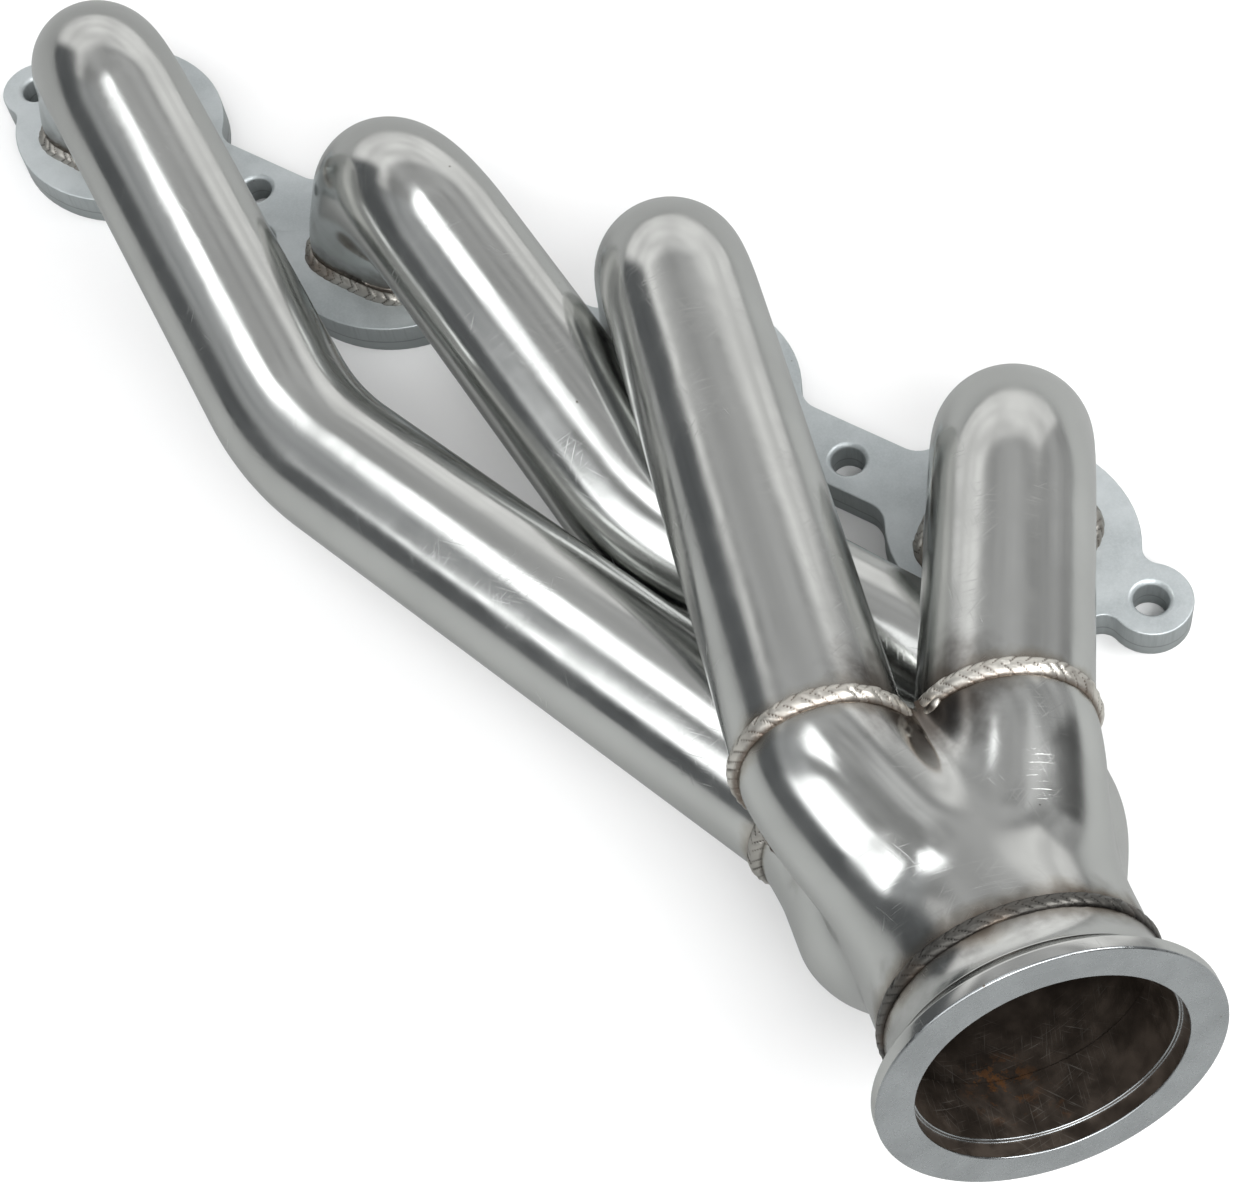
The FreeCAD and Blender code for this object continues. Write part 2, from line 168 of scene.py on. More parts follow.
def outlet_axes():
    """Outlet point and its axis, across and upward directions."""
    s = sizes()
    heading, rise = s.outlet_heading, s.outlet_rise
    axis = np.array([math.cos(rise) * math.cos(heading), math.cos(rise) * math.sin(heading),
                     math.sin(rise)])
    across = np.array([-math.sin(heading), math.cos(heading), 0.0])
    return np.array(s.outlet), axis, across, np.cross(axis, across)


def joint(n):
    return tube_corners(n)[0][-1]


def run_direction(n):
    corners = tube_corners(n)[0]
    return unit(corners[-1] - corners[-2])


def joint_normal(n):
    return unit(run_direction(n) + outlet_axes()[1])


def middle_line(n, step):
    """Points along tube n's middle line, straights and bends, from the formed end to the joint."""
    corners, radii = tube_corners(n)
    start = corners[0]
    points = [start[None]]
    for index, bend in enumerate(radii):
        corner = corners[index + 1]
        into, out = unit(corner - start), unit(corners[index + 2] - corner)
        turn = math.acos(np.clip(into @ out, -1, 1))
        first = corner - into * bend * math.tan(turn / 2)
        inward = unit(out - into * (into @ out))
        centre = first + inward * bend
        count = max(1, int(np.linalg.norm(first - start) / step))
        points.append(start + (first - start) * np.linspace(0, 1, count + 1)[1:, None])
        angles = np.linspace(0, turn, max(6, int(bend * turn / step)) + 1)[1:, None]
        points.append(centre - inward * bend * np.cos(angles) + into * bend * np.sin(angles))
        start = points[-1][-1]
    count = max(2, int(np.linalg.norm(corners[-1] - start) / step))
    points.append(start + (corners[-1] - start) * np.linspace(0, 1, count + 1)[1:, None])
    return np.vstack(points), count


# ------------------------------------------------------------------ mesh helpers

def mesh_piece(name, verts, faces, material, normals=None, values=None):
    """A mesh object with smooth shading, optional vertex normals and named vertex values."""
    mesh = bpy.data.meshes.new(name)
    mesh.from_pydata([tuple(v) for v in verts], [], [tuple(f) for f in faces])
    mesh.validate()
    mesh.shade_smooth()
    for key, data in (values or {}).items():
        data = np.asarray(data, np.float32)
        kind = "FLOAT" if data.ndim == 1 else "FLOAT_VECTOR"
        layer = mesh.attributes.new(key, kind, "POINT")
        layer.data.foreach_set("value" if data.ndim == 1 else "vector", data.ravel())
    if normals is not None:
        mesh.normals_split_custom_set_from_vertices([tuple(v) for v in normals])
    mesh.materials.append(material)
    piece = bpy.data.objects.new(name, mesh)
    bpy.context.scene.collection.objects.link(piece)
    return piece


def grid_faces(rows, columns, closed=True, flip=False):
    """Quads of a grid of rows by columns, wrapping round the columns when closed."""
    r, c = np.meshgrid(np.arange(rows - 1), np.arange(columns if closed else columns - 1), indexing="ij")
    a = r * columns + c
    b = r * columns + (c + 1) % columns
    quads = np.stack([a, b, b + columns, a + columns], -1).reshape(-1, 4)
    return quads[:, ::-1] if flip else quads


def ride_on_root(piece, slot, *nodes):
    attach(piece, "root")
    if nodes:
        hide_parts(*nodes)
    return piece


def gap_to(points, targets):
    """Distance in millimetres from each point to the nearest of the targets."""
    best = np.full(len(points), 1e9)
    for chunk in np.array_split(targets, max(1, len(targets) // 64)):
        apart = np.linalg.norm(points[:, None] - chunk[None], axis=2).min(1)
        best = np.minimum(best, apart)
    return best / MM


# ------------------------------------------------------------------ weld lines

def joint_line(n, count):
    """Closed line where tube n meets its collector leg, with outward directions."""
    s = sizes()
    along, normal = run_direction(n), joint_normal(n)
    side = unit(np.cross(along, [0, 0, 1]))
    other = np.cross(along, side)
    angles = np.linspace(0, 2 * math.pi, count, endpoint=False)[:, None]
    ring = (np.cos(angles) * side + np.sin(angles) * other) * s.tube_radius
    slide = -(ring @ normal) / (along @ normal)
    return joint(n) + ring + slide[:, None] * along, ring / s.tube_radius


def rounded_outline(half_x, half_y, corner, angles):
    """Points of a rounded square at the given angles round its middle."""
    power = 2.0 + 2.4 * (1 - corner / min(half_x, half_y)) * 2
    c, t = np.cos(angles), np.sin(angles)
    reach = (np.abs(c / half_x) ** power + np.abs(t / half_y) ** power) ** (-1 / power)
    return np.stack([reach * c, reach * t], -1)


def port_line(n, count):
    """Closed line round the formed end of tube n on top of the plate."""
    s = sizes()
    angles = np.linspace(0, 2 * math.pi, count, endpoint=False)
    flat = rounded_outline(s.port_half_long, s.port_half_short, s.port_corner, angles)
    middle = tube_corners(n)[0][0]
    points = np.column_stack([flat + middle[:2], np.full(count, PLATE_HIGH[2])])
    tangent = np.roll(points, -1, 0) - np.roll(points, 1, 0)
    outward = np.cross(tangent, [0, 0, 1.0])
    return points, outward / np.linalg.norm(outward, axis=1)[:, None]


def outlet_line(count, back):
    """Closed line round the outlet neck, back from the outlet face."""
    s = sizes()
    outlet, axis, across, upward = outlet_axes()
    angles = np.linspace(0, 2 * math.pi, count, endpoint=False)[:, None]
    ring = np.cos(angles) * across + np.sin(angles) * upward
    return outlet - axis * back + ring * s.neck_radius, ring


def corner_bead_path(name):
    """Path of the short bead in the corner between two legs, from distances along, across and up."""
    outlet, axis, across, upward = outlet_axes()
    steps = {
        "corner_weld_34": [(-84.6, -5.2, 33.2), (-83.6, -2.8, 29.0), (-82.6, -0.8, 25.8), (-82.0, 1.4, 25.8),
                           (-81.6, 3.4, 29.0), (-82.2, 5.6, 33.0)],
        "corner_weld_13": [(-88.0, -38.6, 2.8), (-82.0, -38.4, 2.6), (-76.0, -38.0, 2.4)],
    }[name]
    return [outlet + (axis * s + across * u + upward * w) * MM for s, u, w in steps]


def surface_values(points, welds, runs):
    """Vertex values that the steel's finish needs: run, and distances to welds, to weld scorch with painted
    shade, and to stain.
    """
    outlet, axis, across, upward = outlet_axes()
    # Weld scorch and painted shade: distance to the corner welds in the crotch, the outlet neck and the port
    # roots, where the dark also stands in for shade.
    scorch_and_shade = np.minimum(gap_to(points, np.array(corner_bead_path("corner_weld_34"))) - 2,
                        gap_to(points, np.array(corner_bead_path("corner_weld_13"))) + 6)
    scorch_and_shade = np.minimum(scorch_and_shade, gap_to(points, outlet_line(160, sizes().skin_end)[0]) + 9)
    ports = np.vstack([port_line(n, 96)[0] for n in PORTS])
    scorch_and_shade = np.minimum(scorch_and_shade, gap_to(points, ports) + 2)
    stained = outlet - (axis * 17 + upward * 27 + across * 7) * MM
    return {"run": runs, "weld_gap": gap_to(points, welds), "scorch_and_shade_gap": scorch_and_shade,
            "stain_gap": gap_to(points, stained[None])}


def all_weld_points():
    lines = [joint_line(n, 96)[0] for n in PORTS] + [port_line(n, 96)[0] for n in PORTS]
    lines.append(outlet_line(128, sizes().skin_end)[0])
    return np.vstack(lines)


def bead_mesh(line, outward, side, width, height, seed, braid):
    """Verts, faces, ripple values of a weld bead of overlapping ripples along a closed line."""
    s = sizes()
    ahead = np.roll(line, -1, 0) - line
    travel = np.concatenate([[0], np.cumsum(np.linalg.norm(ahead, axis=1))])
    total = travel[-1]
    ripples = max(8, round(total / s.ripple_pitch))
    rng = np.random.default_rng(seed)
    edges = np.sort((np.arange(ripples) + rng.uniform(-0.22, 0.22, ripples)) / ripples)
    edges = np.concatenate([edges - 1, edges, edges + 1])
    puddle = rng.uniform(0.82, 1.12, ripples)
    puddle = np.concatenate([puddle] * 3)
    arcs = np.linspace(-0.12 * math.pi, 1.12 * math.pi, 17)
    verts, shade, toes = [], [], []
    position = travel[:-1] / total
    for arc in arcs:
        lag = (0.8 * abs(math.cos(arc)) + (braid if math.cos(arc) > 0 else 0.0)) / ripples
        where = position + lag
        index = np.clip(np.searchsorted(edges, where) - 1, 0, len(edges) - 2)
        part = (where - edges[index]) / (edges[index + 1] - edges[index])
        crest = np.sin(np.clip(part, 0, 1) ** 0.6 * math.pi) ** 0.7
        size = puddle[index] * (0.80 + 0.26 * crest)
        verts.append(line + outward * (math.sin(arc) * height * size)[:, None]
                     + side * (math.cos(arc) * width * (0.92 + 0.08 * size))[:, None])
        shade.append(crest)
        toes.append(np.full(len(line), abs(math.cos(arc))))
    verts = np.stack(verts, 1).reshape(-1, 3)
    values = {"crest": np.stack(shade, 1).ravel(), "toe": np.stack(toes, 1).ravel()}
    rows, columns = len(line), len(arcs)
    loop = grid_faces(rows + 1, columns, closed=False) % (rows * columns)
    return verts, loop, values


# ------------------------------------------------------------------ shader helpers

class Nodes:
    """Short ways to add and join shader nodes in one tree."""

    def __init__(self, tree):
        self.tree = tree

    def add(self, kind, inputs=None, **settings):
        node = self.tree.nodes.new(kind)
        for key, value in settings.items():
            setattr(node, key, value)
        for key, value in (inputs or {}).items():
            socket = node.inputs[key]
            if isinstance(value, bpy.types.NodeSocket):
                self.tree.links.new(value, socket)
            else:
                socket.default_value = value
        return node

    def math(self, operation, first, second=0.5, clamp=False):
        node = self.add("ShaderNodeMath", {0: first, 1: second}, operation=operation, use_clamp=clamp)
        return node.outputs[0]

    def span(self, value, low, high, to_low=0.0, to_high=1.0, smooth=True):
        node = self.add("ShaderNodeMapRange", {0: value, 1: low, 2: high, 3: to_low, 4: to_high},
                        interpolation_type="SMOOTHSTEP" if smooth else "LINEAR")
        return node.outputs[0]

    def noise(self, vector, scale, detail=3.0, rough=0.55):
        node = self.add("ShaderNodeTexNoise", {"Vector": vector, "Scale": scale, "Detail": detail,
                                               "Roughness": rough})
        return node.outputs["Fac"]

    def mix(self, factor, first, second, blend="MIX"):
        node = self.tree.nodes.new("ShaderNodeMix")
        node.data_type, node.blend_type = "RGBA", blend
        for index, value in ((0, factor), (6, first), (7, second)):
            if isinstance(value, bpy.types.NodeSocket):
                self.tree.links.new(value, node.inputs[index])
            elif index == 0:
                node.inputs[0].default_value = value
            else:
                node.inputs[index].default_value = (*value[:3], 1.0)
        return node.outputs[2]

    def ramp(self, value, stops):
        node = self.add("ShaderNodeValToRGB", {0: value})
        band = node.color_ramp
        while len(band.elements) < len(stops):
            band.elements.new(0.5)
        for element, (at, shade) in zip(band.elements, stops):
            element.position = at
            element.color = (*shade, 1.0) if len(shade) == 3 else shade
        return node.outputs[0]


def effect_group(name, inputs, outputs, build):
    """A node group made once: inputs and outputs are (name, socket type, default)."""
    if name in bpy.data.node_groups:
        return bpy.data.node_groups[name]
    tree = bpy.data.node_groups.new(name, "ShaderNodeTree")
    for label, kind, default in inputs:
        socket = tree.interface.new_socket(label, in_out="INPUT", socket_type=kind)
        if default is not None:
            socket.default_value = default
    for label, kind in outputs:
        tree.interface.new_socket(label, in_out="OUTPUT", socket_type=kind)
    nodes = Nodes(tree)
    entry = tree.nodes.new("NodeGroupInput")
    leave = tree.nodes.new("NodeGroupOutput")
    for label, socket in build(nodes, entry.outputs).items():
        tree.links.new(socket, leave.inputs[label])
    return tree


def fine_scratches():
    """Fine polishing scratches: a height and a mask, from coordinates in millimetres."""
    def build(nodes, source):
        amount = source["Amount"]
        fields = []
        for turn, stretch, scale in ((0.35, 28.0, 0.9), (-0.9, 22.0, 0.7), (1.45, 34.0, 1.2)):
            turned = nodes.add("ShaderNodeVectorRotate", {"Vector": source["Vector"], "Angle": turn},
                               rotation_type="Z_AXIS").outputs[0]
            thin = nodes.add("ShaderNodeVectorMath", {0: turned, 1: (1.0 / stretch, 1.0, 1.0)},
                             operation="MULTIPLY").outputs[0]
            field = nodes.noise(thin, scale * 2.2, 2.0, 0.6)
            fields.append(nodes.span(field, 0.60, 0.74))
        mask = nodes.math("MAXIMUM", fields[0], nodes.math("MAXIMUM", fields[1], fields[2]))
        patch = nodes.span(nodes.noise(source["Vector"], 0.045, 2.0), 0.42, 0.66)
        mask = nodes.math("MULTIPLY", nodes.math("MULTIPLY", mask, patch), amount)
        return {"Mask": mask, "Height": nodes.math("MULTIPLY", mask, -1.0)}
    return effect_group("fine_scratches", [("Vector", "NodeSocketVector", None),
                                           ("Amount", "NodeSocketFloat", 1.0)],
                        [("Mask", "NodeSocketFloat"), ("Height", "NodeSocketFloat")], build)


def specks():
    """Sparse small pits or specks of dirt, from coordinates in millimetres."""
    def build(nodes, source):
        cells = nodes.add("ShaderNodeTexVoronoi", {"Vector": source["Vector"], "Scale": source["Density"]})
        chosen = nodes.add("ShaderNodeSeparateColor", {0: cells.outputs["Color"]}).outputs[0]
        keep = nodes.math("LESS_THAN", chosen, source["Share"])
        edge = nodes.math("MULTIPLY", source["Size"], source["Density"])
        dot = nodes.span(nodes.math("DIVIDE", cells.outputs["Distance"], edge), 0.6, 1.0, 1.0, 0.0)
        return {"Mask": nodes.math("MULTIPLY", dot, keep)}
    return effect_group("specks", [("Vector", "NodeSocketVector", None),
                                   ("Density", "NodeSocketFloat", 0.12),
                                   ("Share", "NodeSocketFloat", 0.2),
                                   ("Size", "NodeSocketFloat", 0.35)],
                        [("Mask", "NodeSocketFloat")], build)


def heat_tint():
    """Colours that welding heat leaves beside a bead, from the distance in millimetres."""
    def build(nodes, source):
        wander = nodes.noise(source["Vector"], 0.10, 3.0)
        distance = nodes.math("ADD", source["Distance"],
                              nodes.math("MULTIPLY", nodes.math("SUBTRACT", wander, 0.5), -9.0))
        reach = nodes.math("DIVIDE", distance, source["Reach"])
        tint = nodes.ramp(reach, [(0.0, (0.28, 0.24, 0.20)), (0.22, (0.40, 0.35, 0.30)),
                                  (0.40, (0.62, 0.57, 0.52)), (0.62, (0.82, 0.79, 0.75)),
                                  (0.82, (0.94, 0.93, 0.91)), (1.0, (1.0, 1.0, 1.0))])
        mask = nodes.span(reach, 0.15, 0.9, 1.0, 0.0)
        return {"Color": tint, "Mask": mask}
    return effect_group("heat_tint", [("Vector", "NodeSocketVector", None),
                                      ("Distance", "NodeSocketFloat", 10.0),
                                      ("Reach", "NodeSocketFloat", 9.0)],
                        [("Color", "NodeSocketColor"), ("Mask", "NodeSocketFloat")], build)


def new_material(name):
    material = bpy.data.materials.new(name)
    material.use_nodes = True
    tree = material.node_tree
    tree.nodes.clear()
    nodes = Nodes(tree)
    out = tree.nodes.new("ShaderNodeOutputMaterial")
    shader = tree.nodes.new("ShaderNodeBsdfPrincipled")
    tree.links.new(shader.outputs[0], out.inputs[0])
    return material, nodes, shader


def millimetres(nodes):
    """Object coordinates in millimetres."""
    place_in = nodes.add("ShaderNodeTexCoord").outputs["Object"]
    return nodes.add("ShaderNodeVectorMath", {0: place_in, 1: (1000.0, 1000.0, 1000.0)},
                     operation="MULTIPLY").outputs[0]


def named_value(nodes, name, output="Fac"):
    return nodes.add("ShaderNodeAttribute", attribute_name=name).outputs[output]


def group_node(nodes, group, inputs):
    node = nodes.tree.nodes.new("ShaderNodeGroup")
    node.node_tree = group
    for key, value in inputs.items():
        if isinstance(value, bpy.types.NodeSocket):
            nodes.tree.links.new(value, node.inputs[key])
        else:
            node.inputs[key].default_value = value
    return node


def once(name):
    """Keeps one copy of each material."""
    def wrap(build):
        def get():
            return bpy.data.materials.get(name) or build(name)
        return get
    return wrap


@once("polished_stainless")
def polished_stainless(name):
    material, nodes, shader = new_material(name)
    here = millimetres(nodes)
    run = named_value(nodes, "run", "Vector")
    gap = named_value(nodes, "weld_gap")
    scratch = group_node(nodes, fine_scratches(), {"Vector": run, "Amount": 1.0})
    pits = group_node(nodes, specks(), {"Vector": here, "Density": 0.11, "Share": 0.06, "Size": 0.45})
    heat = group_node(nodes, heat_tint(), {"Vector": here, "Distance": gap, "Reach": 6.0})
    cloud = nodes.noise(here, 0.03, 3.0)
    base = nodes.mix(nodes.span(cloud, 0.35, 0.7), finish().polished,
                     tuple(0.93 * v for v in finish().polished))
    tinted = nodes.mix(1.0, base, heat.outputs["Color"], "MULTIPLY")
    # Painted shade mixed with weld scorch: near-black brown near the corner welds, the outlet neck and the
    # port roots, standing in for shade in the crotch between legs and where the tubes meet the plate.
    wander = nodes.math("MULTIPLY", nodes.noise(here, 0.16, 4.0), 14.0)
    scorch_and_shade = nodes.math("ADD", named_value(nodes, "scorch_and_shade_gap"), wander)
    burnt = nodes.span(scorch_and_shade, 10.0, 26.0, 0.85, 0.0)
    tinted = nodes.mix(burnt, tinted, (0.075, 0.055, 0.042))
    pitted = nodes.mix(pits.outputs["Mask"], tinted, (0.16, 0.14, 0.12))
    nodes.tree.links.new(pitted, shader.inputs["Base Color"])
    shader.inputs["Metallic"].default_value = 1.0
    shader.inputs["Specular Tint"].default_value = (0.82, 0.82, 0.82, 1.0)
    haze = nodes.span(nodes.noise(here, 0.06, 4.0), 0.3, 0.75, 0.13, 0.22)
    rough = nodes.math("ADD", haze, nodes.math("MULTIPLY", scratch.outputs["Mask"], 0.10))
    rough = nodes.math("ADD", rough, nodes.math("MULTIPLY", heat.outputs["Mask"], 0.16))
    nodes.tree.links.new(rough, shader.inputs["Roughness"])
    waves = nodes.noise(here, 0.055, 2.0, 0.4)
    wave_bump = nodes.add("ShaderNodeBump", {"Height": waves, "Strength": 0.17, "Distance": 0.0008})
    line_bump = nodes.add("ShaderNodeBump", {"Height": scratch.outputs["Height"], "Strength": 0.22,
                                             "Distance": 0.00004, "Normal": wave_bump.outputs[0]})
    nodes.tree.links.new(line_bump.outputs[0], shader.inputs["Normal"])
    return material


@once("sooty_inside")
def sooty_inside(name):
    material, nodes, shader = new_material(name)
    here = millimetres(nodes)
    run = named_value(nodes, "run", "Vector")
    scratch = group_node(nodes, fine_scratches(), {"Vector": run, "Amount": 1.0})
    smoke = nodes.span(nodes.noise(here, 0.05, 4.0), 0.3, 0.7)
    base = nodes.mix(smoke, finish().soot, tuple(2.1 * v for v in finish().soot))
    stain = nodes.span(nodes.noise(here, 0.07, 5.0, 0.65), 0.62, 0.70)
    base = nodes.mix(nodes.math("MULTIPLY", stain, 0.35), base, finish().rust)
    crust = nodes.span(nodes.noise(here, 0.24, 5.0, 0.72), 0.52, 0.60)
    splash = nodes.math("MULTIPLY", crust, nodes.span(named_value(nodes, "stain_gap"), 5.0, 13.0, 1.0, 0.0))
    base = nodes.mix(nodes.math("MULTIPLY", splash, 0.9), base, finish().rust)
    base = nodes.mix(scratch.outputs["Mask"], base, (0.45, 0.42, 0.38))
    nodes.tree.links.new(base, shader.inputs["Base Color"])
    shader.inputs["Metallic"].default_value = 0.85
    rough = nodes.span(nodes.noise(here, 0.2, 3.0), 0.3, 0.7, 0.34, 0.52)
    nodes.tree.links.new(rough, shader.inputs["Roughness"])
    bump = nodes.add("ShaderNodeBump", {"Height": scratch.outputs["Height"], "Strength": 0.3,
                                        "Distance": 0.00006})
    nodes.tree.links.new(bump.outputs[0], shader.inputs["Normal"])
    return material


@once("zinc_plate")
def zinc_plate(name):
    material, nodes, shader = new_material(name)
    here = millimetres(nodes)
    grain = nodes.noise(here, 1.6, 4.0, 0.7)
    cloud = nodes.noise(here, 0.05, 4.0)
    base = nodes.mix(nodes.span(cloud, 0.3, 0.72), finish().plate_dark, finish().plate)
    base = nodes.mix(nodes.span(grain, 0.35, 0.75, 0.0, 0.35), base, (0.70, 0.73, 0.75))
    pits = group_node(nodes, specks(), {"Vector": here, "Density": 0.16, "Share": 0.12, "Size": 0.5})
    base = nodes.mix(nodes.math("MULTIPLY", pits.outputs["Mask"], 0.8), base, (0.13, 0.12, 0.11))
    height = nodes.add("ShaderNodeSeparateXYZ", {0: here}).outputs[2]
    level = nodes.math("ADD", height, nodes.math("MULTIPLY", cloud, 1.6))
    low_line = nodes.math("MULTIPLY", nodes.span(level, 4.6, 4.9), nodes.span(level, 5.1, 5.5, 1.0, 0.0))
    facing = nodes.add("ShaderNodeSeparateXYZ", {0: nodes.add("ShaderNodeNewGeometry").outputs["Normal"]})
    on_edge = nodes.span(nodes.math("ABSOLUTE", facing.outputs[2]), 0.3, 0.6, 1.0, 0.0)
    base = nodes.mix(nodes.math("MULTIPLY", nodes.math("MULTIPLY", low_line, on_edge), 0.7), base,
                     (0.16, 0.17, 0.17))
    upright = nodes.add("ShaderNodeVectorMath", {0: here, 1: (1.0, 1.0, 0.06)}, operation="MULTIPLY")
    tears = nodes.noise(upright.outputs[0], 1.3, 3.0, 0.6)
    upper = nodes.math("MULTIPLY", on_edge, nodes.span(level, 5.0, 5.6))
    base = nodes.mix(nodes.math("MULTIPLY", nodes.span(tears, 0.45, 0.7, 0.0, 0.4), upper), base,
                     (0.30, 0.32, 0.33))
    base = nodes.mix(nodes.math("MULTIPLY", on_edge, 0.5), base, (0.24, 0.26, 0.26))
    nodes.tree.links.new(base, shader.inputs["Base Color"])
    shader.inputs["Metallic"].default_value = 0.6
    rough = nodes.span(grain, 0.3, 0.75, 0.38, 0.56)
    nodes.tree.links.new(rough, shader.inputs["Roughness"])
    bump = nodes.add("ShaderNodeBump", {"Height": grain, "Strength": 0.35, "Distance": 0.00012})
    nodes.tree.links.new(bump.outputs[0], shader.inputs["Normal"])
    return material


def bead_material(name, light, dark, brown):
    """Weld metal: its own colour on its ripples, with painted shade between them and along its toes."""
    material, nodes, shader = new_material(name)
    here = millimetres(nodes)
    grain = nodes.noise(here, 0.9, 4.0, 0.7)
    # Painted shade: the ripple hollows and the toes take the dark colour, the crests the bead's own colour.
    base = nodes.mix(nodes.span(named_value(nodes, "crest"), 0.05, 0.65), dark, light)
    toe = nodes.math("ADD", named_value(nodes, "toe"), nodes.math("MULTIPLY", grain, 0.3))
    base = nodes.mix(nodes.span(toe, 0.72, 1.15, 0.0, 0.9), base, dark)
    burnt = nodes.span(nodes.noise(here, 0.06, 3.0), 0.46, 0.70)
    base = nodes.mix(nodes.math("MULTIPLY", burnt, brown), base, (0.16, 0.12, 0.09))
    base = nodes.mix(nodes.span(grain, 0.5, 0.8, 0.0, 0.4), base, tuple(min(1, 1.2 * v) for v in light))
    nodes.tree.links.new(base, shader.inputs["Base Color"])
    shader.inputs["Metallic"].default_value = 0.85
    rough = nodes.span(grain, 0.3, 0.7, 0.28, 0.46)
    nodes.tree.links.new(rough, shader.inputs["Roughness"])
    bump = nodes.add("ShaderNodeBump", {"Height": grain, "Strength": 0.5, "Distance": 0.00015})
    nodes.tree.links.new(bump.outputs[0], shader.inputs["Normal"])
    return material


@once("clean_bead")
def clean_bead(name):
    return bead_material(name, tuple(finish().bead), tuple(finish().bead_shade), 0.45)


@once("burnt_bead")
def burnt_bead(name):
    light = tuple(0.62 * v for v in finish().bead)
    # The dark colour is painted shade between the ripples and along the toes.
    return bead_material(name, light, (0.05, 0.042, 0.035), 0.8)


@once("outlet_bead_metal")
def outlet_bead_metal(name):
    light = tuple(0.17 * v for v in finish().bead)
    # The dark colour is painted shade between the ripples and along the toes.
    return bead_material(name, light, (0.012, 0.010, 0.009), 0.5)


@once("turned_ring")
def turned_ring(name):
    material, nodes, shader = new_material(name)
    here = millimetres(nodes)
    run = named_value(nodes, "run", "Vector")
    scratch = group_node(nodes, fine_scratches(), {"Vector": run, "Amount": 0.8})
    pits = group_node(nodes, specks(), {"Vector": here, "Density": 0.2, "Share": 0.16, "Size": 0.42})
    rust = group_node(nodes, specks(), {"Vector": here, "Density": 0.05, "Share": 0.16, "Size": 1.5})
    gap = named_value(nodes, "weld_gap")
    heat = group_node(nodes, heat_tint(), {"Vector": here, "Distance": gap, "Reach": 6.0})
    cloud = nodes.noise(here, 0.09, 4.0)
    base = nodes.mix(nodes.span(cloud, 0.35, 0.7), finish().ring, tuple(0.86 * v for v in finish().ring))
    base = nodes.mix(1.0, base, heat.outputs["Color"], "MULTIPLY")
    base = nodes.mix(pits.outputs["Mask"], base, (0.22, 0.20, 0.18))
    patchy = nodes.math("MULTIPLY", rust.outputs["Mask"], nodes.span(nodes.noise(here, 0.8, 4.0), 0.45, 0.6))
    base = nodes.mix(nodes.math("MULTIPLY", patchy, 0.75), base, finish().rust)
    nodes.tree.links.new(base, shader.inputs["Base Color"])
    shader.inputs["Metallic"].default_value = 1.0
    rough = nodes.span(nodes.noise(here, 0.5, 4.0), 0.3, 0.7, 0.20, 0.36)
    nodes.tree.links.new(rough, shader.inputs["Roughness"])
    bump = nodes.add("ShaderNodeBump", {"Height": scratch.outputs["Height"], "Strength": 0.3,
                                        "Distance": 0.00005})
    nodes.tree.links.new(bump.outputs[0], shader.inputs["Normal"])
    return material


# ------------------------------------------------------------------ tubes

def tube_surface(n, radius_drop):
    """Rings of points, outward directions and run values of one tube surface."""
    s = sizes()
    around = 96
    line, tail = middle_line(n, 2.0 * MM)
    middle = tube_corners(n)[0][0]
    low = 0.6 * MM if radius_drop == 0 else 0.4 * MM
    formed = np.linspace(low, middle[2], 9)[:-1]
    line = np.vstack([np.column_stack([np.full(8, middle[0]), np.full(8, middle[1]), formed]), line])
    tangents = np.gradient(line, axis=0)
    tangents /= np.linalg.norm(tangents, axis=1)[:, None]
    side = np.array([1.0, 0.0, 0.0])
    angles = np.linspace(0, 2 * math.pi, around, endpoint=False)
    travel = np.concatenate([[0], np.cumsum(np.linalg.norm(np.diff(line, axis=0), axis=1))])
    change = max(middle[2] * 1.25, 26 * MM)
    rings, outs, runs = [], [], []
    for index, (point, tangent) in enumerate(zip(line, tangents)):
        side = unit(side - tangent * (side @ tangent))
        other = np.cross(tangent, side)
        share = min(1.0, max(0.0, (travel[index] - 11 * MM) / change))
        share = share * share * (3 - 2 * share)
        square = rounded_outline(s.port_half_long, s.port_half_short, s.port_corner, angles)
        disc = np.column_stack([np.cos(angles), np.sin(angles)]) * s.tube_radius
        flat = square * (1 - share) + disc * share
        reach = np.linalg.norm(flat, axis=1)[:, None]
        flat = flat * (reach - radius_drop) / reach
        ring = point + flat[:, :1] * side + flat[:, 1:] * other
        rings.append(ring)
        outs.append((ring - point) / np.linalg.norm(ring - point, axis=1)[:, None])
        runs.append(np.column_stack([np.full(around, travel[index] / MM),
                                     angles * s.tube_radius / MM, np.zeros(around)]))
    rings = np.array(rings)
    along, normal = run_direction(n), joint_normal(n)
    last = rings[-1]
    slide = ((joint(n) - last) @ normal) / (along @ normal)
    start = len(rings) - 1 - tail
    shares = np.linspace(0, 1, tail + 1)[:, None, None]
    rings[start:] = rings[start:] + shares * slide[None, :, None] * along
    return rings, np.array(outs), np.array(runs)


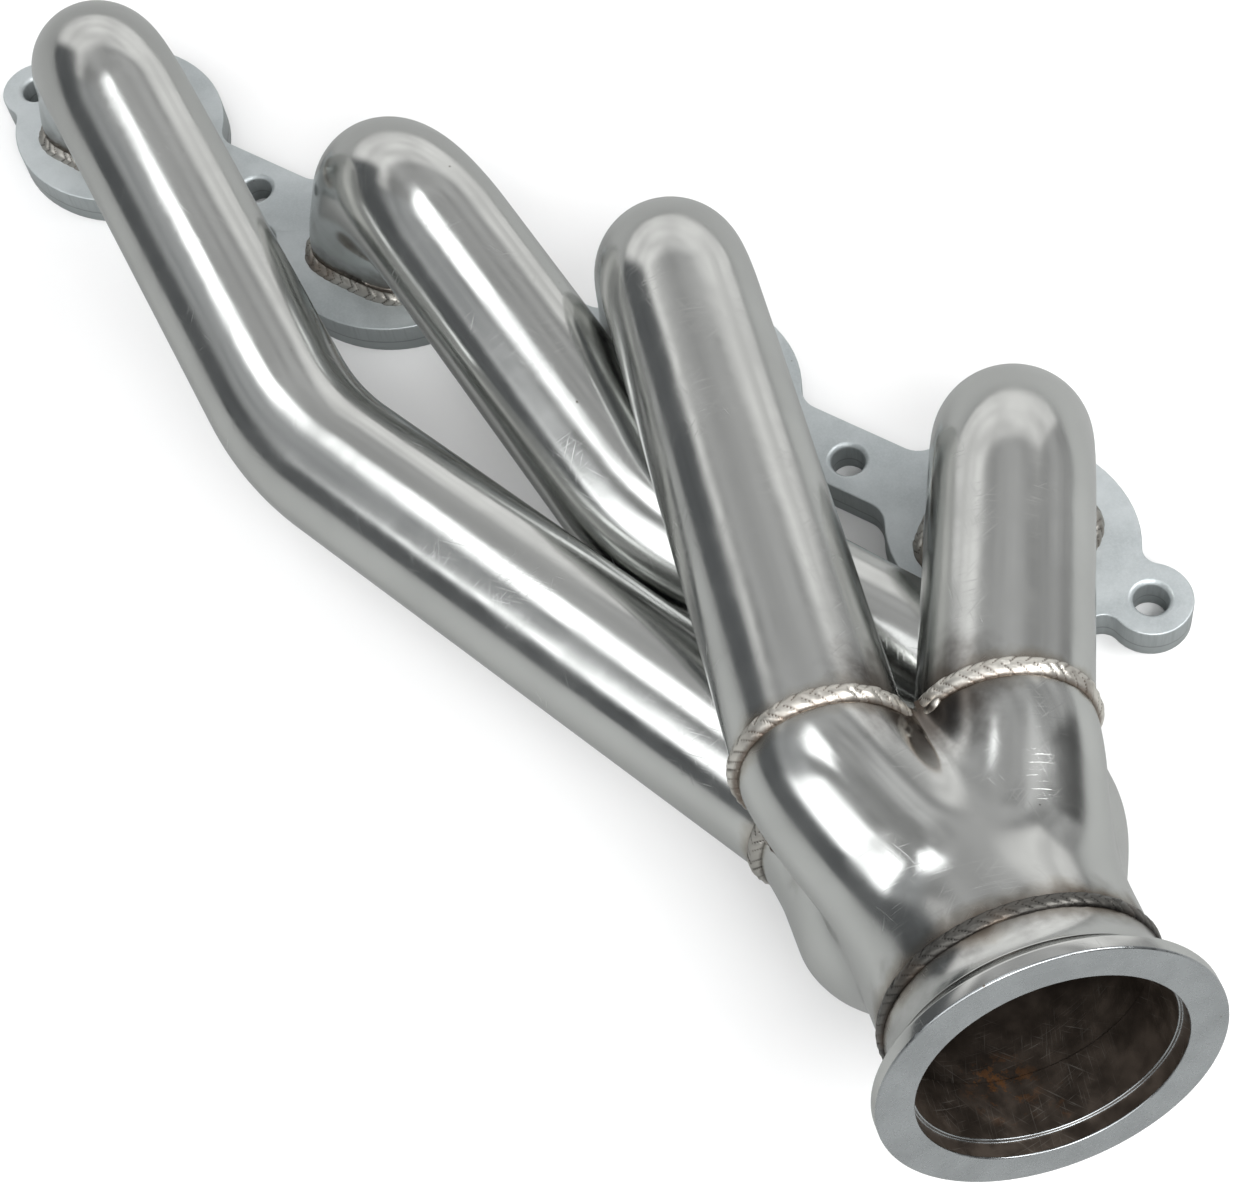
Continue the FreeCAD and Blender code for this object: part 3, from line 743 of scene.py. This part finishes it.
def build_tube(n, welds):
    s = sizes()
    outer, _, run = tube_surface(n, 0.0)
    inner, _, run_in = tube_surface(n, s.tube_wall)
    rows, around = outer.shape[:2]
    inner = inner[::-1]
    verts = np.vstack([outer.reshape(-1, 3), inner.reshape(-1, 3)])
    faces = grid_faces(rows, around)
    inside = grid_faces(rows, around) + rows * around
    foot = np.arange(around)
    first, last = foot, (2 * rows - 1) * around + foot
    rim = np.stack([last, np.roll(last, -1), np.roll(first, -1), first], -1)
    all_faces = np.vstack([faces, inside, rim])
    runs = np.vstack([run.reshape(-1, 3), run_in[::-1].reshape(-1, 3)])
    piece = mesh_piece("tube_%d_polished" % n, verts, all_faces, polished_stainless(),
                       values=surface_values(verts, welds, runs))
    piece.data.materials.append(sooty_inside())
    marks = np.zeros(len(piece.data.polygons), np.int32)
    marks[len(faces):len(faces) + len(inside)] = 1
    piece.data.polygons.foreach_set("material_index", marks)
    return ride_on_root(piece, "polished_tube", "tube_%d" % n)


# ------------------------------------------------------------------ collector

def eased(value):
    value = np.clip(value, 0.0, 1.0)
    return value * value * (3 - 2 * value)


# Share by which each leg draws in towards the collector's middle just past its joint.
LEG_PINCH = {1: 0.09, 2: 0.12, 3: 0.0, 4: 0.0}


def collector_field(q):
    """Signed distance, in millimetres, to the collector's outer skin; q is across, up, along axis."""
    s = sizes()
    outlet, axis, across, upward = outlet_axes()
    neck, tube, start = s.neck_radius / MM, s.tube_radius / MM, -s.skin_start / MM
    end = -s.skin_end / MM
    along = np.clip((q[..., 2] - start) / (end - start), 0.0, 1.0)
    parts = []
    for n in PORTS:
        offset = (joint(n) - outlet) / MM
        u, w = offset @ across, offset @ upward
        late = 0.30 if n == 1 else 0.0
        share = eased((along - late) / (1 - late)) * 0.75
        past_joint = q[..., 2] - offset @ axis
        share = 1 - (1 - share) * (1 - LEG_PINCH[n] * eased(past_joint / 25.0))
        parts.append(np.hypot(q[..., 0] - u * (1 - share), q[..., 1] - w * (1 - share)) - tube)
    core = s.core_radius / MM + (neck - s.core_radius / MM) * along
    middle = np.hypot(q[..., 0], q[..., 1]) - core
    parts.append(np.maximum(middle, (start + 2) - q[..., 2]))
    blend = 3.2
    total = sum(np.exp(-np.clip(part, -60, 60) / blend) for part in parts)
    merged = -blend * np.log(total)
    share = eased((along - 0.5) / 0.5)
    plain = np.hypot(q[..., 0], q[..., 1]) - neck
    return merged * (1 - share) + plain * share


def field_normals(q):
    """Unit normals and plain slopes of the collector's field."""
    step = 0.05
    grads = []
    for index in range(3):
        shift = np.zeros(3)
        shift[index] = step
        grads.append((collector_field(q + shift) - collector_field(q - shift)) / (2 * step))
    grads = np.stack(grads, -1)
    return grads / np.maximum(1e-9, np.linalg.norm(grads, axis=-1)[..., None]), grads


def skin_net(level, pitch):
    """Quads on the surface where the collector's field equals level, as a surface net."""
    low, high = np.array([-62.0, -58.0, -142.0]), np.array([64.0, 58.0, -17.0])
    axes = [np.arange(a, b, pitch) for a, b in zip(low, high)]
    grid = np.stack(np.meshgrid(*axes, indexing="ij"), -1)
    values = collector_field(grid) - level
    inside = values < 0
    total = np.zeros(tuple(n - 1 for n in values.shape) + (3,))
    count = np.zeros(tuple(n - 1 for n in values.shape))
    quads = []
    shape = np.array(values.shape)
    cells = shape - 1
    for direction in range(3):
        one = [slice(None)] * 3
        two = [slice(None)] * 3
        one[direction], two[direction] = slice(0, -1), slice(1, None)
        a, b = values[tuple(one)], values[tuple(two)]
        crossing = inside[tuple(one)] != inside[tuple(two)]
        where = np.argwhere(crossing)
        va, vb = a[crossing], b[crossing]
        point = where.astype(float)
        point[:, direction] += va / (va - vb)
        others = [d for d in range(3) if d != direction]
        ok = np.ones(len(where), bool)
        corners = []
        for back in ((0, 0), (1, 0), (1, 1), (0, 1)):
            cell = where.copy()
            cell[:, others[0]] -= back[0]
            cell[:, others[1]] -= back[1]
            ok &= np.all((cell >= 0) & (cell < cells), axis=1)
            corners.append(cell)
        for cell in corners:
            good = np.all((cell >= 0) & (cell < cells), axis=1)
            index = tuple(cell[good].T)
            np.add.at(total, index, point[good])
            np.add.at(count, index, 1)
        ids = np.stack([np.ravel_multi_index(tuple(cell[ok].T), tuple(cells)) for cell in corners], -1)
        flip = (va[ok] < 0) == (direction != 1)
        ids[~flip] = ids[~flip][:, ::-1]
        quads.append(ids)
    quads = np.vstack(quads)
    used, renumbered = np.unique(quads, return_inverse=True)
    index = np.unravel_index(used, tuple(cells))
    spots = total[index] / np.maximum(1, count[index])[:, None]
    q = low + spots * pitch
    for _ in range(4):
        _, grads = field_normals(q)
        error = collector_field(q) - level
        q = q - grads * (error / np.maximum(0.05, (grads ** 2).sum(-1)))[:, None]
    return q, renumbered.reshape(quads.shape)


def collector_pieces(welds):
    """The merged legs as four quarter shells that share one smooth skin."""
    s = sizes()
    outlet, axis, across, upward = outlet_axes()
    basis = np.stack([across, upward, axis])
    pitch = 1.5
    collected = {n: [] for n in PORTS}
    for level, inward in ((0.0, False), (-s.collector_wall / MM, True)):
        q, quads = skin_net(level, pitch)
        normals, _ = field_normals(q)
        world = outlet + (q @ basis) * MM
        centre = q[quads].mean(1)
        centre_world = world[quads].mean(1)
        keep = centre[:, 2] < -s.skin_end / MM + 0.3
        quarter = np.where(centre[:, 1] < 0, np.where(centre[:, 0] < 0, 1, 2),
                           np.where(centre[:, 0] < 0, 3, 4))
        nearest = np.full(len(quads), -1)
        for n in PORTS:
            mine = quarter == n
            past = ((centre_world - joint(n)) @ joint_normal(n)) > -0.3 * MM
            nearest[mine & past & keep] = n
        for n in PORTS:
            chosen = quads[nearest == n]
            if inward:
                chosen = chosen[:, ::-1]
            collected[n].append((world, normals @ basis * (-1 if inward else 1), chosen, q, inward))
    for n in PORTS:
        verts, normals, faces, runs, marks = [], [], [], [], []
        offset = 0
        for world, normal, quads, q, inward in collected[n]:
            used, renumbered = np.unique(quads, return_inverse=True)
            verts.append(world[used])
            normals.append(normal[used])
            faces.append(renumbered.reshape(quads.shape) + offset)
            angle = np.arctan2(q[used, 1], q[used, 0])
            runs.append(np.column_stack([q[used, 2], angle * 35.0, np.zeros(len(used))]))
            marks.append(np.full(len(quads), int(inward)))
            offset += len(used)
        verts, normals, faces = np.vstack(verts), np.vstack(normals), np.vstack(faces)
        piece = mesh_piece("collector_leg_%d_polished" % n, verts, faces, polished_stainless(),
                           normals=normals,
                           values=surface_values(verts, welds, np.vstack(runs)))
        piece.data.materials.append(sooty_inside())
        piece.data.polygons.foreach_set("material_index", np.concatenate(marks).astype(np.int32))
        ride_on_root(piece, "collector_shell", "collector_leg_%d" % n)


# ------------------------------------------------------------------ outlet ring

def ring_profile():
    """Rounded half section of the outlet ring: radius and distance back from its face, in mm."""
    s = sizes()
    neck = s.neck_radius / MM
    corners = [(31.2, 0.0, 0.5), (40.1, 0.0, 0.6), (40.1, 3.6, 0.5), (34.9, 8.0, 2.0),
               (neck + 0.2, 12.0, 6.0), (neck, 20.0, 0.1), (30.3, 20.0, 0.1), (30.3, 4.4, 0.35),
               (31.2, 4.4, 0.2)]
    points = []
    count = len(corners)
    for index, (r, d, round_off) in enumerate(corners):
        here = np.array([r, d])
        before = unit(np.array(corners[index - 1][:2]) - here)
        after = unit(np.array(corners[(index + 1) % count][:2]) - here)
        for share in np.linspace(0, 1, 6):
            a, b = here + before * round_off, here + after * round_off
            points.append((1 - share) ** 2 * a + 2 * share * (1 - share) * here + share ** 2 * b)
    return np.array(points)


def build_ring(welds):
    outlet, axis, across, upward = outlet_axes()
    profile = ring_profile()
    around = 160
    angles = np.linspace(0, 2 * math.pi, around, endpoint=False)
    spokes = np.cos(angles)[:, None] * across + np.sin(angles)[:, None] * upward
    verts = np.array([outlet - axis * d * MM + spokes * r * MM for r, d in profile])
    rows = len(profile)
    faces = grid_faces(rows + 1, around, flip=True) % (rows * around)
    flat = verts.reshape(-1, 3)
    runs = np.array([np.column_stack([angles * r, np.full(around, r - d), np.zeros(around)])
                     for r, d in profile]).reshape(-1, 3)
    piece = mesh_piece("outlet_ring_turned", flat, faces, turned_ring(),
                       values=surface_values(flat, welds, runs))
    piece.data.materials.append(sooty_inside())
    piece.data.materials.append(polished_stainless())
    marks = np.zeros(len(piece.data.polygons), np.int32)
    radii = np.array([np.mean([profile[i % rows][0], profile[(i + 1) % rows][0]]) for i in range(rows)])
    depths = np.array([np.mean([profile[i % rows][1], profile[(i + 1) % rows][1]]) for i in range(rows)])
    inside = (radii < 31.25) & (depths > 0.6) & ((depths < 4.0) | (depths > 5.0))
    marks[np.repeat(inside, around)] = 1
    marks[np.repeat((radii > 31.5) & (depths > 0.5), around)] = 2
    piece.data.polygons.foreach_set("material_index", marks)
    return ride_on_root(piece, "outlet_ring", "vband_flange")


# ------------------------------------------------------------------ weld beads

def build_bead(name, node, line, outward, side, width, height, seed, metal, braid=0.0):
    verts, faces, values = bead_mesh(line, outward, side, width, height, seed, braid)
    piece = mesh_piece(name, verts, faces, metal, values=values)
    return ride_on_root(piece, "weld_bead", node)


def build_corner_bead(name, node, corners, radius, seed):
    """Short lumpy bead along a bent path, thin at both ends."""
    corners = np.array(corners)
    shares = np.linspace(0, len(corners) - 1, 60)
    index = np.minimum(shares.astype(int), len(corners) - 2)
    path = corners[index] + (shares - index)[:, None] * (corners[index + 1] - corners[index])
    for _ in range(12):
        path[1:-1] = (path[:-2] + 2 * path[1:-1] + path[2:]) / 4
    rng = np.random.default_rng(seed)
    lumps = np.interp(np.arange(60), np.linspace(0, 59, 13), rng.uniform(0.78, 1.16, 13))
    wave = np.interp(np.arange(60), np.linspace(0, 59, 19), rng.uniform(0.0, 0.75, 19))
    for _ in range(3):
        lumps[1:-1] = (lumps[:-2] + 2 * lumps[1:-1] + lumps[2:]) / 4
    taper = np.minimum(1, 0.35 + 3 * np.minimum(np.linspace(0, 1, 60), np.linspace(1, 0, 60)))
    radii = radius * taper * lumps
    tangent = np.gradient(path, axis=0)
    tangent /= np.linalg.norm(tangent, axis=1)[:, None]
    side = np.cross(tangent, [0.0, 0.0, 1.0])
    side /= np.linalg.norm(side, axis=1)[:, None]
    other = np.cross(tangent, side)
    angles = np.linspace(0, 2 * math.pi, 20, endpoint=False)
    rings = (path[:, None] + radii[:, None, None] * (np.cos(angles)[None, :, None] * side[:, None]
                                                     + np.sin(angles)[None, :, None] * other[:, None]))
    verts = np.vstack([rings.reshape(-1, 3), path[:1], path[-1:]])
    faces = [tuple(quad) for quad in grid_faces(60, 20)]
    faces += [((k + 1) % 20, k, 1200) for k in range(20)]
    faces += [(1180 + k, 1180 + (k + 1) % 20, 1201) for k in range(20)]
    crest = np.concatenate([np.repeat(wave, 20), [0, 0]])
    piece = mesh_piece(name, verts, faces, burnt_bead(),
                       values={"crest": crest, "toe": np.full(len(verts), 0.55)})
    return ride_on_root(piece, "weld_bead", node)


def line_sides(line, outward):
    tangent = np.roll(line, -1, 0) - np.roll(line, 1, 0)
    side = np.cross(tangent, outward)
    return side / np.linalg.norm(side, axis=1)[:, None]


# ------------------------------------------------------------------ operators

class MANIFOLD_OT_flange(bpy.types.Operator):
    """Gives the CAD flange plate soft edges and a zinc-coated finish"""
    bl_idname = "manifold.flange"
    bl_label = "Head flange"

    def execute(self, context):
        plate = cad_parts["head_flange"]
        plate.data.materials.clear()
        plate.data.materials.append(zinc_plate())
        weld = plate.modifiers.new("Join corners", "WELD")
        weld.merge_threshold = 0.00001
        bevel = plate.modifiers.new("Soft edges", "BEVEL")
        bevel.width, bevel.segments = 0.0005, 2
        bevel.limit_method, bevel.angle_limit = "ANGLE", math.radians(35)
        bevel.harden_normals = True
        return {"FINISHED"}


class MANIFOLD_OT_tubes(bpy.types.Operator):
    """Builds the four polished tubes with formed ends"""
    bl_idname = "manifold.tubes"
    bl_label = "Primary tubes"

    def execute(self, context):
        welds = all_weld_points()
        for n in PORTS:
            build_tube(n, welds)
        return {"FINISHED"}


class MANIFOLD_OT_collector(bpy.types.Operator):
    """Builds the smooth merged legs of the collector"""
    bl_idname = "manifold.collector"
    bl_label = "Merge collector"

    def execute(self, context):
        collector_pieces(all_weld_points())
        return {"FINISHED"}


class MANIFOLD_OT_outlet_ring(bpy.types.Operator):
    """Builds the turned clamp ring at the outlet"""
    bl_idname = "manifold.outlet_ring"
    bl_label = "Outlet ring"

    def execute(self, context):
        build_ring(all_weld_points())
        return {"FINISHED"}


class MANIFOLD_OT_welds(bpy.types.Operator):
    """Builds the rippled weld beads at the ports, the collector and the outlet"""
    bl_idname = "manifold.welds"
    bl_label = "Weld beads"

    def execute(self, context):
        s = sizes()
        for n in PORTS:
            line, outward = joint_line(n, 900)
            build_bead("collector_weld_%d_bead" % n, "collector_weld_%d" % n, line, outward,
                       line_sides(line, outward), s.joint_bead, s.joint_bead * 0.66, n,
                       burnt_bead() if n == 1 else clean_bead(), 0.4)
            line, level = port_line(n, 900)
            lifted = np.array([0.0, 0.0, 1.0])
            outward = (level + lifted) / math.sqrt(2)
            line = line + (level * 0.16 + lifted * 0.16) * s.port_bead
            build_bead("port_weld_%d_bead" % n, "port_weld_%d" % n, line, outward,
                       line_sides(line, outward), s.port_bead * 0.6, s.port_bead * 0.36, 10 + n,
                       burnt_bead())
        line, outward = outlet_line(1400, s.skin_end)
        build_bead("outlet_weld_bead", "outlet_weld", line, outward, line_sides(line, outward),
                   s.outlet_bead, s.outlet_bead * 0.55, 31, outlet_bead_metal(), 0.5)
        for name, radius, seed in (("corner_weld_34", 2.1, 41), ("corner_weld_13", 2.4, 42)):
            build_corner_bead(name + "_bead", name, corner_bead_path(name), radius * MM, seed)
        return {"FINISHED"}


def area_light(name, position, target, width, height, power, shade=(1.0, 1.0, 1.0)):
    data = bpy.data.lights.new(name, "AREA")
    data.shape, data.size, data.size_y, data.energy, data.color = "RECTANGLE", width, height, power, shade
    light = bpy.data.objects.new(name, data)
    light.location = position
    light.rotation_euler = (Vector(target) - Vector(position)).to_track_quat("-Z", "Y").to_euler()
    bpy.context.scene.collection.objects.link(light)
    return light


# Studio surroundings, each as azimuth from and to, elevation from and to, softness in degrees,
# brightness and warmth. Azimuth 0 is along +X and 90 along +Y.
SURROUNDINGS = {
    "pale_wall": (84, 186, -90, 33, 8, 0.95, 0.008),
    "grey_wall": (84, 168, 33, 74, 14, 0.46, 0.0),
    "dark_card": (-20, 63, -14, 46, 7, 0.10, 0.0),
    "grey_card": (63, 85, -14, 46, 5, 0.45, 0.0),
    "light_wall": (40, 88, 46, 72, 8, 0.66, 0.0),
    "high_soft_box": (152, 201, 54, 73, 7, 2.4, -0.01),
    "side_soft_box": (223, 253, 14, 60, 6, 2.4, -0.01),
    "far_wall": (186, 223, 26, 54, 10, 0.42, -0.02),
    "dark_wall": (168, 252, -5, 25, 8, 0.12, -0.04),
    "front_wall": (262, 338, 22, 74, 10, 2.3, 0.0),
}
CEILING = 0.32


def studio_air():
    """World of plain walls, soft boxes and dark cards; it is seen only in reflections."""
    world = bpy.data.worlds.new("studio_air")
    world.use_nodes = True
    tree = world.node_tree
    tree.nodes.clear()
    nodes = Nodes(tree)
    heading = nodes.add("ShaderNodeSeparateXYZ", {0: nodes.add("ShaderNodeTexCoord").outputs["Generated"]})
    turn = nodes.math("MULTIPLY", nodes.math("ARCTAN2", heading.outputs[1], heading.outputs[0]),
                      math.degrees(1))
    azimuth = nodes.math("ADD", nodes.math("FLOORED_MODULO", nodes.math("ADD", turn, 30.0), 360.0), -30.0)
    elevation = nodes.math("MULTIPLY", nodes.math("ARCSINE", heading.outputs[2]), math.degrees(1))
    level = (CEILING, CEILING, CEILING)
    for left, right, low, high, soft, brightness, warmth in SURROUNDINGS.values():
        mask = nodes.math("MULTIPLY", nodes.span(azimuth, left - soft / 2, left + soft / 2),
                          nodes.span(azimuth, right - soft / 2, right + soft / 2, 1.0, 0.0))
        rise = nodes.math("MULTIPLY", nodes.span(elevation, low - soft / 2, low + soft / 2),
                          nodes.span(elevation, high - soft / 2, high + soft / 2, 1.0, 0.0))
        mask = nodes.math("MULTIPLY", mask, rise)
        level = nodes.mix(mask, level, (brightness * (1 + warmth), brightness, brightness * (1 - warmth)))
    ripple = nodes.add("ShaderNodeCombineXYZ", {0: nodes.math("MULTIPLY", azimuth, 0.03),
                                                1: nodes.math("MULTIPLY", elevation, 0.10)}).outputs[0]
    uneven = nodes.span(nodes.noise(ripple, 1.0, 4.0, 0.6), 0.3, 0.7, 0.70, 1.22)
    grain = nodes.add("ShaderNodeCombineColor", {0: uneven, 1: uneven, 2: uneven}).outputs[0]
    level = nodes.mix(1.0, level, grain, "MULTIPLY")
    seen = nodes.add("ShaderNodeLightPath").outputs["Is Camera Ray"]
    air = nodes.add("ShaderNodeBackground", {"Color": nodes.mix(seen, level, (1.0, 1.0, 1.0))})
    out = nodes.add("ShaderNodeOutputWorld")
    tree.links.new(air.outputs[0], out.inputs[0])
    return world


class MANIFOLD_OT_stage(bpy.types.Operator):
    """Sets up the plain floor, the soft studio lights and the camera"""
    bl_idname = "manifold.stage"
    bl_label = "Floor, lights and camera"

    def execute(self, context):
        scene = context.scene
        floor_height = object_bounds()[0][2]
        reach = 3.0
        verts = [(x * reach, y * reach, floor_height) for x, y in ((-1, -1), (1, -1), (1, 1), (-1, 1))]
        material, nodes, shader = new_material("plain_floor")
        faint = nodes.noise(millimetres(nodes), 0.02, 2.0)
        shade = nodes.mix(nodes.span(faint, 0.3, 0.7, 0.0, 0.15), finish().floor, (0.97, 0.97, 0.97))
        seen = nodes.add("ShaderNodeLightPath").outputs["Is Camera Ray"]
        shade = nodes.mix(seen, (0.42, 0.425, 0.42), shade)
        nodes.tree.links.new(shade, shader.inputs["Base Color"])
        shader.inputs["Roughness"].default_value = 0.9
        floor = mesh_piece("studio_floor", verts, [(0, 1, 2, 3)], material)
        floor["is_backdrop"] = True

        middle = (0.05, -0.07, 0.05)
        area_light("key_soft_box", (0.95, -0.75, 1.25), middle, 0.9, 0.7, 15)
        area_light("fill_soft_box", (0.9, 0.35, 1.1), middle, 0.6, 0.6, 9)
        scene.world = studio_air()
        scene.view_settings.view_transform = "Standard"

        azimuth, elevation, roll = (math.radians(a) for a in (43.84, 58.26, -12.69))
        target = Vector((74.92, -67.98, 0.0)) * MM
        back = Vector((math.sin(azimuth) * math.cos(elevation), -math.cos(azimuth) * math.cos(elevation),
                       math.sin(elevation)))
        right = Vector((math.cos(azimuth), math.sin(azimuth), 0.0))
        up = back.cross(right)
        turned = Matrix((right, up, back)).transposed() @ Matrix.Rotation(roll, 3, "Z")
        data = bpy.data.cameras.new("studio_camera")
        data.sensor_width, data.lens = 36.0, 72.01
        data.clip_start, data.clip_end = 0.01, 50.0
        camera = bpy.data.objects.new("studio_camera", data)
        camera.matrix_world = Matrix.Translation(target + back * 720.59 * MM) @ turned.to_4x4()
        scene.collection.objects.link(camera)
        scene.camera = camera
        return {"FINISHED"}


class MANIFOLD_PT_panel(bpy.types.Panel):
    """Lists the manifold's pieces in the sidebar"""
    bl_idname = "MANIFOLD_PT_panel"
    bl_label = "Exhaust manifold"
    bl_space_type = "VIEW_3D"
    bl_region_type = "UI"
    bl_category = "Manifold"

    def draw(self, context):
        for operator in OPERATORS:
            self.layout.operator(operator.bl_idname)


OPERATORS = (MANIFOLD_OT_flange, MANIFOLD_OT_tubes, MANIFOLD_OT_collector, MANIFOLD_OT_outlet_ring,
             MANIFOLD_OT_welds, MANIFOLD_OT_stage)
CLASSES = (ManifoldSizes, ManifoldFinish, *OPERATORS, MANIFOLD_PT_panel)


def register():
    for item in CLASSES:
        bpy.utils.register_class(item)
    bpy.types.Scene.manifold_sizes = bpy.props.PointerProperty(type=ManifoldSizes)
    bpy.types.Scene.manifold_finish = bpy.props.PointerProperty(type=ManifoldFinish)


def unregister():
    del bpy.types.Scene.manifold_finish
    del bpy.types.Scene.manifold_sizes
    for item in reversed(CLASSES):
        bpy.utils.unregister_class(item)


def main():
    register()
    bpy.ops.manifold.flange()
    bpy.ops.manifold.tubes()
    bpy.ops.manifold.collector()
    bpy.ops.manifold.outlet_ring()
    bpy.ops.manifold.welds()
    bpy.ops.manifold.stage()


if __name__ == "__main__":
    main()
